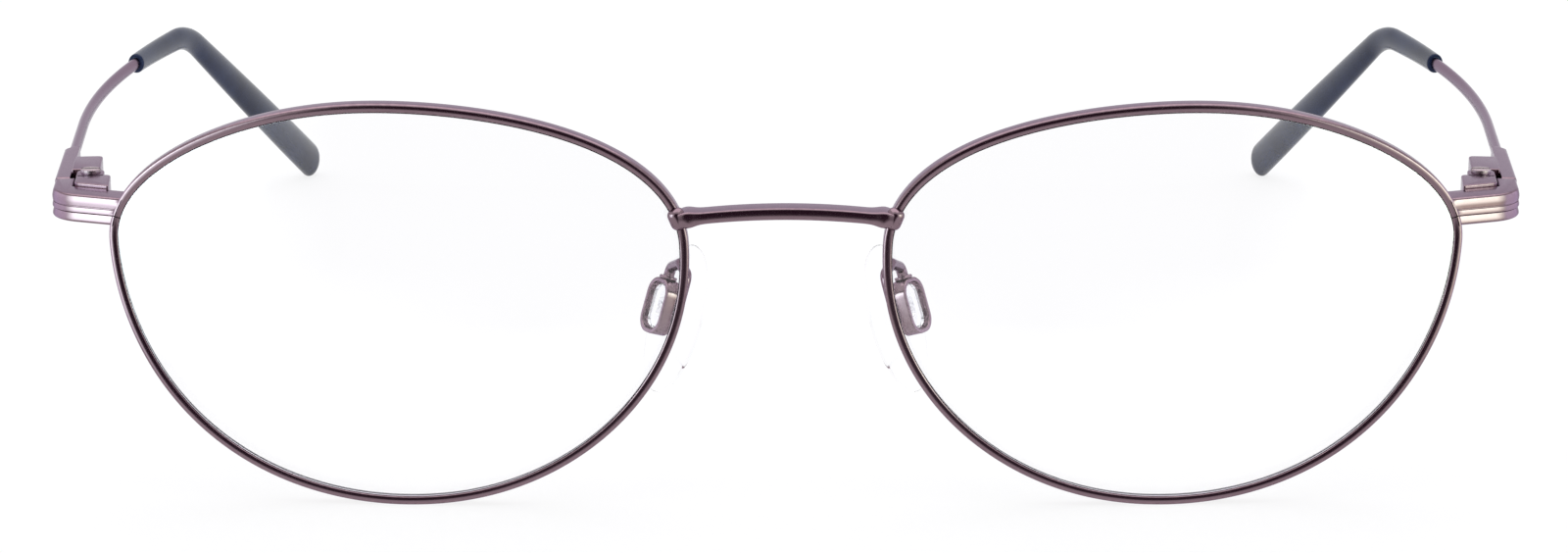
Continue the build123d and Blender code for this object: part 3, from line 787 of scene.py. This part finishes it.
def plate_shells():
    """Flat bar with round outer edges, tapering to the rear, where it ends in a short slope."""
    slope_start = plate_length - plate_end_slope
    rear_rows = [slope_start, plate_length - plate_chamfer, plate_length]
    lengths = np.array([*plate_rows, *rear_rows])
    half_height = np.interp(lengths, [0, plate_length], [plate_height / 2, plate_end_height / 2])
    half_height[0] -= plate_chamfer
    half_height[-1] -= plate_end_chamfer
    thickness = np.full(len(lengths), plate_thickness)
    thickness[0] -= plate_chamfer
    thickness -= np.maximum(lengths - slope_start, 0) / plate_end_slope * plate_end_drop
    radii = [plate_inner_radius, plate_edge_radius, plate_edge_radius, plate_inner_radius]
    loops = []
    for half, thick in zip(half_height, thickness):
        corners = [(0, -half), (thick, -half), (thick, half), (0, half)]
        loop, wear_and_sheen = rounded(corners, radii, steps=8)
        loops.append(loop)
    loops = np.array(loops)
    along = (lengths - butt_ahead)[:, None]
    drop = np.maximum(along, 0) * sin(slope_turn)
    plan = hinge_spot(plate_reach + loops[..., 0], along)
    return [Shell(lifted(plan, endpiece_level - drop + loops[..., 1]), wear_and_sheen)]


def temple_plan(distance):
    """Plan of the temple: straight, an arc inwards, straight. Gives place and heading."""
    whole_turn = radians(bow_turn)
    turn = np.clip((distance - bow_start) / bow_radius, 0, whole_turn)
    beyond = np.maximum(distance - bow_start - bow_radius * whole_turn, 0)
    across = wire_across - bow_radius * (1 - np.cos(turn)) - beyond * np.sin(turn)
    along = np.minimum(distance, bow_start) + bow_radius * np.sin(turn) + beyond * np.cos(turn)
    return hinge_spot(across, along), radians(right_angle - flare_angle) + turn


def drop_angle():
    """Angle of the ear end below level at which the rounded end rests on the table."""
    bend_height = endpiece_level - length_to_bend * sin(slope_turn)
    drop = quarter_turn(drop_samples)
    round_height = np.hypot(tip_end_round * np.sin(drop), paddle_height / 2 * np.cos(drop))
    end_height = bend_height - (temple_length - length_to_bend) * np.sin(drop)
    above = end_height > round_height - tip_end_round * np.sin(drop)
    return float(drop[np.argmin(above)])


ear_drop = drop_angle()
bend_tangent = ear_bend_radius * tan((ear_drop - slope_turn) / 2)
bend_arc = ear_bend_radius * (ear_drop - slope_turn)
temple_end = temple_length - 2 * bend_tangent + bend_arc
tip_front = temple_end - tip_length


def temple_frame(lengths):
    """Middle line of the temple: straight, the ear bend's arc, straight, laid over its plan.
    Gives the places, the direction across and the direction up."""
    bend_start = length_to_bend - bend_tangent
    turned = np.clip(lengths - bend_start, 0, bend_arc)
    pitch = slope_turn + turned / ear_bend_radius
    past = np.maximum(lengths - bend_start - bend_arc, 0)
    before = np.minimum(lengths, bend_start)
    level, steep = np.cos(pitch), np.sin(pitch)
    first_level, first_steep = cos(slope_turn), sin(slope_turn)
    run = before * first_level + ear_bend_radius * (steep - first_steep) + past * level
    fall = before * first_steep + ear_bend_radius * (first_level - level) + past * steep
    plan, heading = temple_plan(run)
    places = lifted(plan, endpiece_level - fall)
    across = joined(np.sin(heading), -np.cos(heading), 0)
    way = joined(np.cos(heading) * level, np.sin(heading) * level, -steep)
    return places, across, np.cross(across, way)


def wire_shells():
    """Oval wire from the plate to the tip, slimmer where it runs on inside the tip."""
    full_end = tip_front + full_wire_reach
    core_end = temple_end - core_end_margin
    wire = np.linspace(wire_start, full_end, wire_rows)
    core = np.linspace(tip_front + core_start, core_end, core_rows)
    lengths = np.concatenate([wire, core])
    widths = np.where(lengths > full_end, core_width, wire_width)
    heights = np.where(lengths > full_end, core_height, wire_height)
    return [Shell(carry(*temple_frame(lengths), oval_loops(widths, heights)))]


def tip_shells():
    """Oval sleeve: slim to the ear bend, then growing by a quarter sine wave into the paddle,
    with a quarter ellipse for its end and a small round lip at its front."""
    body = np.linspace(tip_front + tip_lip_radius, temple_end - tip_end_round, tip_rows)
    share = (body - tip_front) / tip_length
    bend_share = (length_to_bend - tip_front) / tip_length
    slim = np.clip(share / bend_share, 0, 1)
    swell = np.sin(np.clip((share - bend_share) / (1 - bend_share), 0, 1) * pi / 2)
    lip_turn = quarter_turn(lip_steps)[:-1]
    end_turn = quarter_turn(tip_end_steps)[1:-1]
    shrink = 2 * tip_lip_radius * (1 - np.sin(lip_turn))

    def grown(start, bend, paddle):
        """One size of the sleeve from the lip over the ear bend and the paddle to the end."""
        size = start + (bend - start) * slim + (paddle - bend) * swell
        return np.concatenate([size[0] - shrink, size, size[-1] * np.cos(end_turn)])

    lip = tip_front + tip_lip_radius * (1 - np.cos(lip_turn))
    end = temple_end - tip_end_round + tip_end_round * np.sin(end_turn)
    lengths = np.concatenate([lip, body, end])
    widths = grown(tip_start_width, tip_bend_width, paddle_width)
    heights = grown(tip_start_height, tip_bend_height, paddle_height)
    loops = oval_loops(widths, heights, tip_columns)
    return [Shell(carry(*temple_frame(lengths), loops), pole=True)]


splay, frontal = radians(splay_angle), radians(frontal_angle)
pad_rear = np.array([sin(splay), cos(splay), 0])
pad_out = np.array([cos(splay) * cos(frontal), -sin(splay) * cos(frontal), sin(frontal)])
pad_up = np.cross(pad_out, pad_rear)


def at_pad(local):
    """Place of points given rearwards, upwards and towards the lens from the pad box."""
    rear, up, out = np.split(np.asarray(local, float), 3, axis=-1)
    return box_place + rear * pad_rear + up * pad_up + out * pad_out


def round_box(width, height, radius):
    """Rounded rectangle about zero."""
    x, y = width / 2, height / 2
    return rounded([(-x, -y), (x, -y), (x, y), (-x, y)], [radius] * 4, steps=14)[0]


def pad_box_shells():
    """Wall profile with a lip round the window, carried round a rounded rectangle."""
    path = round_box(box_width, box_height, box_corner_radius)
    along = tangents(path)
    inward = joined(-along[:, 1], along[:, 0])
    inner = box_wall + box_lip
    corners = [
        (0, 0),
        (inner, 0),
        (inner, -box_lip_depth),
        (box_wall, -box_lip_depth),
        (box_wall, -box_depth),
        (0, -box_depth),
    ]
    radii = [box_edge_radius, box_edge_radius, box_window_radius]
    profile, wear_and_sheen = rounded(corners, radii + [0, box_back_radius, box_back_radius])
    flat = path[:, None] + inward[:, None] * profile[:, :1]
    return [Shell(at_pad(lifted(flat, profile[:, 1])), wear_and_sheen, ring=True)]


def round_wire(path, radii):
    """Round section of changing radius carried along a path in space."""
    tangent = unit(np.gradient(path, axis=0))
    first = unit(np.cross(tangent, arm_section_way))
    second = np.cross(tangent, first)
    return carry(path, first, second, oval_loops(2 * radii, 2 * radii, arm_columns))


def pad_arm_shells():
    """Round wire that grows out of the rim's nose side, bends over a crown and comes down to a
    collar on the pad box."""
    low_angle = edge_angle(arm_low_level, pi, 3 * pi / 2)
    high_angle = edge_angle(arm_high_level, pi, 3 * pi / 2)
    low = edge_place(low_angle, outer_reach - arm_low_sink) + (0, arm_low_depth, 0)
    high = edge_place(high_angle, outer_reach - arm_high_sink) + (0, arm_high_depth, 0)
    top = (box_height + collar_height) / 2
    end = at_pad((0, top, -box_depth / 2))
    above = at_pad((0, top + arm_drop, -box_depth / 2))
    corners = [low, high, arm_crown, above, end]
    radii = [0, arm_root_bend_radius, arm_bend_radius, arm_drop_bend_radius, 0]
    path = rounded(corners, radii, steps=16, closed=False)[0]
    foot = np.linspace(path[0], path[1], arm_foot_rows)[1:-1]
    path = np.concatenate([path[:1], foot, path[1:]])
    thick = np.full(len(path), arm_radius)
    turn = quarter_turn(arm_ball_steps)[1:]
    ball = path[0] + unit(path[0] - path[1]) * (arm_radius * np.sin(turn))[::-1, None]
    ball_thick = (arm_radius * np.cos(turn))[::-1] + arm_start_radius
    wire = round_wire(np.concatenate([ball, path]), np.concatenate([ball_thick, thick]))

    collar, wear_and_sheen = button(collar_radius, 0, collar_height, collar_edge_radius, collar_columns)
    collar = at_pad(collar + (0, box_height / 2, -box_depth / 2))
    return [Shell(wire, pole=True), Shell(collar, wear_and_sheen, pole=True)]


def pad_insert_shells():
    """Rounded block that narrows to a round neck."""
    inner = box_wall + insert_gap
    plan = round_box(box_width - 2 * inner, box_height - 2 * inner, box_corner_radius - inner)
    circle = unit(plan) * neck_radius
    top = -box_lip_depth - insert_gap
    bottom = top - insert_depth
    neck_end = -box_depth - pad_gap - neck_seat
    ease = insert_edge_radius
    small = plan - unit(plan) * ease
    rows = [(small, top), (plan, top - ease), (plan, bottom + ease), (small, bottom)]
    rows += [(circle, bottom), (circle, neck_end)]
    return [Shell(at_pad([lifted(flat, level) for flat, level in rows]), pole=True)]


def nose_pad_shells():
    """Soft oval: a round seat for the neck, a flat back, a quarter ellipse round its edge and a
    dome whose half axes shrink by a power of the cosine."""
    oval = wheel(pad_columns) * (pad_width / 2, pad_height / 2)
    edge_level = pad_thickness * pad_rim_share
    edge_turn = quarter_turn(pad_edge_steps)
    edge_size = pad_back_share + (1 - pad_back_share) * np.sin(edge_turn)
    edge_depth = edge_level * (1 - np.cos(edge_turn))
    dome_turn = quarter_turn(pad_dome_steps)[1:-1]
    dome_size = np.cos(dome_turn) ** pad_dome_power
    dome_depth = edge_level + (pad_thickness - edge_level) * np.sin(dome_turn)
    sizes = np.concatenate([edge_size, dome_size])
    ovals = oval * sizes[:, None, None] - (0, pad_drop)
    seat = wheel(pad_columns) * neck_radius
    flat = np.concatenate([[seat, seat], ovals])
    levels = -box_depth - pad_gap - np.concatenate([[neck_seat, 0], edge_depth, dome_depth])
    return [Shell(at_pad(lifted(flat, levels[:, None])), pole=True)]


class Number:
    """A socket that carries a number, so that shader maths is written as plain sums."""

    def __init__(self, finish, socket):
        self.finish, self.socket = finish, socket

    def math(self, operation, *terms):
        """A Math node on numbers or sockets."""
        terms = dict(enumerate(terms))
        return self.finish.node("ShaderNodeMath", 0, terms, operation=operation)

    def __add__(self, other):
        return self.math("ADD", self, other)

    def __sub__(self, other):
        return self.math("SUBTRACT", self, other)

    def __rsub__(self, other):
        return self.math("SUBTRACT", other, self)

    def __mul__(self, other):
        return self.math("MULTIPLY", self, other)

    def __pow__(self, other):
        return self.math("POWER", self, other)

    __radd__ = __add__
    __rmul__ = __mul__

    def between(self, low, high):
        """0 below low, 1 above high, straight between."""
        terms = {0: self, 1: low, 2: high, 3: 0.0, 4: 1.0}
        return self.finish.node("ShaderNodeMapRange", 0, terms, clamp=True)


class Finish:
    """The nodes of one finish."""

    def __init__(self, owner):
        owner.use_nodes = True
        self.owner, self.tree = owner, owner.node_tree
        self.tree.nodes.clear()

    def node(self, kind, output, sockets=None, **settings):
        """Adds a node: first its settings, then the values or links of its sockets."""
        made = self.tree.nodes.new(kind)
        for key, value in settings.items():
            setattr(made, key, value)
        for key, value in (sockets or {}).items():
            if isinstance(value, Number):
                self.tree.links.new(value.socket, made.inputs[key])
            else:
                made.inputs[key].default_value = value
        return None if output is None else Number(self, made.outputs[output])

    def mix(self, factor, one, two):
        """Colour between two others."""
        return self.node("ShaderNodeMix", 2, {0: factor, 6: one, 7: two}, data_type="RGBA")

    def noise(self, scale, detail=3.0):
        """Cloudy pattern around a half on the piece's own coordinates."""
        place = self.node("ShaderNodeTexCoord", 3)
        sockets = {"Vector": place, "Scale": scale, "Detail": detail}
        return self.node("ShaderNodeTexNoise", 0, sockets)

    def wear_and_sheen(self):
        """The mark of the piece's points: worn edges on the metal, and on the lens bevel the rows
        of painted highlight and painted shade.
        """
        return self.node("ShaderNodeAttribute", 2, attribute_name="wear_and_sheen")

    def bump(self, height, strength, distance):
        """Normal of a fine relief."""
        sockets = {"Strength": strength, "Distance": distance, "Height": height}
        return self.node("ShaderNodeBump", 0, sockets)

    def principled(self, sockets):
        """A principled surface."""
        return self.node("ShaderNodeBsdfPrincipled", 0, sockets)

    def glow(self, tint):
        """A surface that glows at strength 1."""
        return self.node("ShaderNodeEmission", 0, {"Color": tint, "Strength": 1.0})

    def show(self, shader):
        """Sends a surface to the output. Gives the material."""
        self.node("ShaderNodeOutputMaterial", None, {"Surface": shader})
        return self.owner

    def show_mix(self, factor, one, two):
        """Sends a mix of two surfaces to the output. Gives the material."""
        return self.show(self.node("ShaderNodeMixShader", 0, {0: factor, 1: one, 2: two}))


def new_finish(name):
    """An empty finish for one material."""
    return Finish(bpy.data.materials.new(name))


def make_frame_metal():
    """Plated mauve metal: wide soft clouds of plum and mauve, fine grain, paler worn edges."""
    finish = new_finish("satin_mauve_metal")
    clouds = finish.noise(frame_cloud_scale, detail=2.0)
    grain = finish.noise(frame_grain_scale, detail=1.0)
    scuffs = finish.noise(frame_scuff_scale)
    base = finish.mix(clouds.between(*cloud_range), frame_plum, frame_mauve)
    worn = finish.wear_and_sheen() * scuffs.between(*frame_scuff_range) * frame_wear
    rough = frame_roughness + grain * frame_grain_roughness + clouds * frame_cloud_roughness
    return finish.show(finish.principled({
        "Base Color": finish.mix(worn, base, frame_worn),
        "Metallic": 1.0,
        "Specular Tint": frame_edge_tint,
        "Roughness": rough,
        "Normal": finish.bump(grain, *frame_relief),
    }))


def make_screw_steel():
    """Toned steel with fine turning marks."""
    finish = new_finish("toned_screw_steel")
    marks = finish.noise(screw_mark_scale)
    return finish.show(finish.principled({
        "Base Color": finish.mix(marks.between(*cloud_range), screw_dark, screw_light),
        "Metallic": 1.0,
        "Roughness": screw_roughness + marks * screw_mark_roughness,
        "Normal": finish.bump(marks, *screw_relief),
    }))


def make_lens_glass():
    """Clear polished lens with a coating that hardly reflects, a breath of dust and a metal edge
    where it sits in the rim, painted to stand for light inside the bevel: painted highlight in
    front, painted shade at the rear."""
    finish = new_finish("clear_lens")
    dust = finish.noise(lens_dust_scale)
    bevel_sheen_band = finish.wear_and_sheen()
    clear = finish.principled({
        "Base Color": finish.mix(dust, white, lens_dusty),
        "Roughness": dust.between(*lens_dust_range) * lens_dust_roughness,
        "Transmission Weight": 1.0,
        "Specular IOR Level": lens_gloss,
        "IOR": lens_index,
    })
    # Painted shade on the rear of the bevel, painted highlight on its front
    depth = (bevel_sheen_band - 1).between(*lens_edge_range) + dust * lens_edge_cloud
    edge = finish.principled({
        "Base Color": finish.mix(depth, lens_edge_painted_highlight, lens_edge_painted_shade),
        "Metallic": 1.0,
        "Roughness": lens_edge_roughness,
    })
    return finish.show_mix(bevel_sheen_band, clear, edge)


def make_tip_plastic():
    """Glossy near-black plastic, with soft cloudy gloss and fine handling marks."""
    finish = new_finish("blue_black_tip_plastic")
    clouds = finish.noise(tip_cloud_scale)
    marks = finish.noise(tip_mark_scale).between(*tip_mark_range)
    return finish.show(finish.principled({
        "Base Color": finish.mix(clouds.between(*tip_cloud_range), tip_dark, tip_light),
        "Roughness": tip_roughness + clouds * tip_cloud_roughness + marks * tip_mark_roughness,
        "Specular IOR Level": tip_gloss,
        "Specular Tint": tip_gloss_tint,
        "Normal": finish.bump(clouds, *tip_relief),
    }))


def make_clear_plastic(name, index, roughness, tint):
    """Clear plastic, a little cloudy inside."""
    finish = new_finish(name)
    haze = finish.noise(haze_scale)
    return finish.show(finish.principled({
        "Base Color": finish.mix(haze.between(*cloud_range), tint, haze_tint),
        "Roughness": roughness + haze.between(*haze_range) * haze_roughness,
        "Transmission Weight": 1.0,
        "IOR": index,
    }))


# Each finish with the name of its slot
frame_metal = make_frame_metal(), "frame_metal"
screw_steel = make_screw_steel()
lens_glass = make_lens_glass(), "lens"
tip_plastic = make_tip_plastic(), "tip_plastic"
hard_clear = make_clear_plastic(*insert_plastic), "clear_plastic"
soft_clear = make_clear_plastic(*pad_silicone), "clear_silicone"

# Pieces of one side: name, shape, finish, body and the node that each stands for
side_pieces = [
    ("rim_wire", rim_shells, frame_metal, "front", "rim"),
    ("lens_glass", lens_shells, lens_glass, "front", "lens"),
    ("upper_bar", upper_endpiece_shells, frame_metal, "front", "upper_endpiece"),
    ("lower_bar", lower_endpiece_shells, frame_metal, "front", "lower_endpiece"),
    ("front_leaf", front_leaf_shells, frame_metal, "front", "front_hinge_leaf"),
    ("temple_leaf", temple_leaf_shells, frame_metal, "temple", "temple_hinge_leaf"),
    ("plate_bar", plate_shells, frame_metal, "temple", "temple_plate"),
    ("temple_arm", wire_shells, frame_metal, "temple", "temple_wire"),
    ("tip_sleeve", tip_shells, tip_plastic, "temple", "temple_tip"),
    ("pad_arm_wire", pad_arm_shells, frame_metal, "front", "pad_arm"),
    ("pad_box_frame", pad_box_shells, frame_metal, "front", "pad_box"),
    ("pad_insert_block", pad_insert_shells, hard_clear, "pad", "pad_insert"),
    ("nose_pad_soft", nose_pad_shells, soft_clear, "pad", "nose_pad"),
]
add_piece("bridge_bar", bridge_shells(), frame_metal, "front", "bridge")
for name, make, finish, body_name, node_name in side_pieces:
    shells = make()
    for side in ("right", "left"):
        body = body_name if body_name == "front" else f"{side}_{body_name}"
        sided = shells if side == "right" else [shell.mirrored() for shell in shells]
        add_piece(f"{side}_{name}", sided, finish, body, f"{side}_{node_name}")
for side in ("right", "left"):
    for screw in ("closing_screw", "hinge_screw"):
        node = frame["nodes"][f"{side}_{screw}"]
        node.data.materials.clear()
        node.data.materials.append(screw_steel)


def stage_card(name, corners, material):
    """A flat four-cornered card of the studio."""
    card = mesh_object(name, corners, [(0, 1, 2, 3)], material)
    return card


def seen_directly(finish):
    """1 for rays that the camera, a reflection or clear glass sends, else 0."""
    camera, glossy, through = (finish.node("ShaderNodeLightPath", way) for way in (0, 3, 6))
    return camera.math("MAXIMUM", camera, glossy.math("MAXIMUM", glossy, through))


def make_floor():
    """Plain white floor that keeps a soft shadow."""
    finish = new_finish("white_floor")
    diffuse = finish.node("ShaderNodeBsdfDiffuse", 0, {"Color": floor_white})
    finish.show_mix(seen_directly(finish) * floor_glow_share, diffuse, finish.glow(white))
    reach = floor_half_size
    corners = [(-reach, -reach, 0), (reach, -reach, 0), (reach, reach, 0), (-reach, reach, 0)]
    floor = stage_card("floor", corners, finish.owner)
    floor.visible_glossy = False


def mirror_card(name, start_x, azimuth, distance, half_width, low, high, side_fade, glows):
    """An upright card that shows only in reflections, at a distance and azimuth from a place
    on the front of the glasses. It fades out towards its borders, and its glow changes from
    its lower border to its upper one."""
    finish = new_finish(name)
    turn = radians(azimuth)
    across = np.array([cos(turn), sin(turn), 0]) * half_width
    depth = -cos(turn) * distance - row_shift * MM
    foot = np.array([start_x + sin(turn) * distance, depth, 0])
    bottom, top = foot + (0, 0, low), foot + (0, 0, high)
    corners = [bottom - across, bottom + across, top + across, top - across]
    card = stage_card(name, corners, finish.owner)
    share = card.data.uv_layers.new(name="share")
    share.data.foreach_set("uv", [0, 0, 1, 0, 1, 1, 0, 1])
    place = {"Vector": finish.node("ShaderNodeUVMap", 0, uv_map="share")}
    side = finish.node("ShaderNodeSeparateXYZ", 0, place)
    rise = finish.node("ShaderNodeSeparateXYZ", 1, place)
    solid = side.between(0.0, side_fade) * (1 - side).between(0.0, side_fade)
    solid = solid * rise.between(0.0, card_end_fade) * (1 - rise).between(0.0, card_end_fade)
    clear = finish.node("ShaderNodeBsdfTransparent", 0)
    finish.show_mix(solid, clear, finish.glow(finish.mix(rise**card_tint_power, *glows)))
    finish.owner.cycles.emission_sampling = "NONE"
    card.visible_camera = False
    card.visible_diffuse = False
    card.visible_transmission = False
    card.visible_shadow = False


def make_world():
    """White surroundings, at full strength only where they are seen directly."""
    world = bpy.data.worlds.new("white_studio")
    bpy.context.scene.world = world
    finish = Finish(world)
    strength = room_light + seen_directly(finish) * (1 - room_light)
    glow = finish.node("ShaderNodeBackground", 0, {"Color": white, "Strength": strength})
    finish.node("ShaderNodeOutputWorld", None, {"Surface": glow})


def place_in_studio(data, place, turn):
    """Adds a lamp or a camera at a place, turned by the given angles."""
    holder = new_object(data.name, data)
    holder.location, holder.rotation_euler = place, turn
    return holder


def make_lamp():
    """A square soft lamp above and behind, which points at the origin."""
    lamp = bpy.data.lights.new("soft_top_lamp", "AREA")
    lamp.shape = "SQUARE"
    lamp.size = lamp_size
    lamp.energy = lamp_power
    way = np.zeros(3) - lamp_place
    turn = (pi / 2 + atan2(way[2], hypot(way[0], way[1])), 0, atan2(-way[0], way[1]))
    place_in_studio(lamp, lamp_place, turn)


def make_camera():
    """The photograph's viewing angle."""
    camera = bpy.data.cameras.new("camera")
    camera.sensor_fit = "HORIZONTAL"
    camera.sensor_width = sensor_width
    camera.lens = focal_length
    camera.clip_start, camera.clip_end = 0.01, 100
    turn = (radians(right_angle - camera_pitch), 0, 0)
    bpy.context.scene.camera = place_in_studio(camera, in_row(camera_place), turn)


make_floor()
for card in mirror_cards:
    mirror_card(*card)
make_world()
make_lamp()
make_camera()
bpy.context.scene.view_settings.view_transform = "Standard"
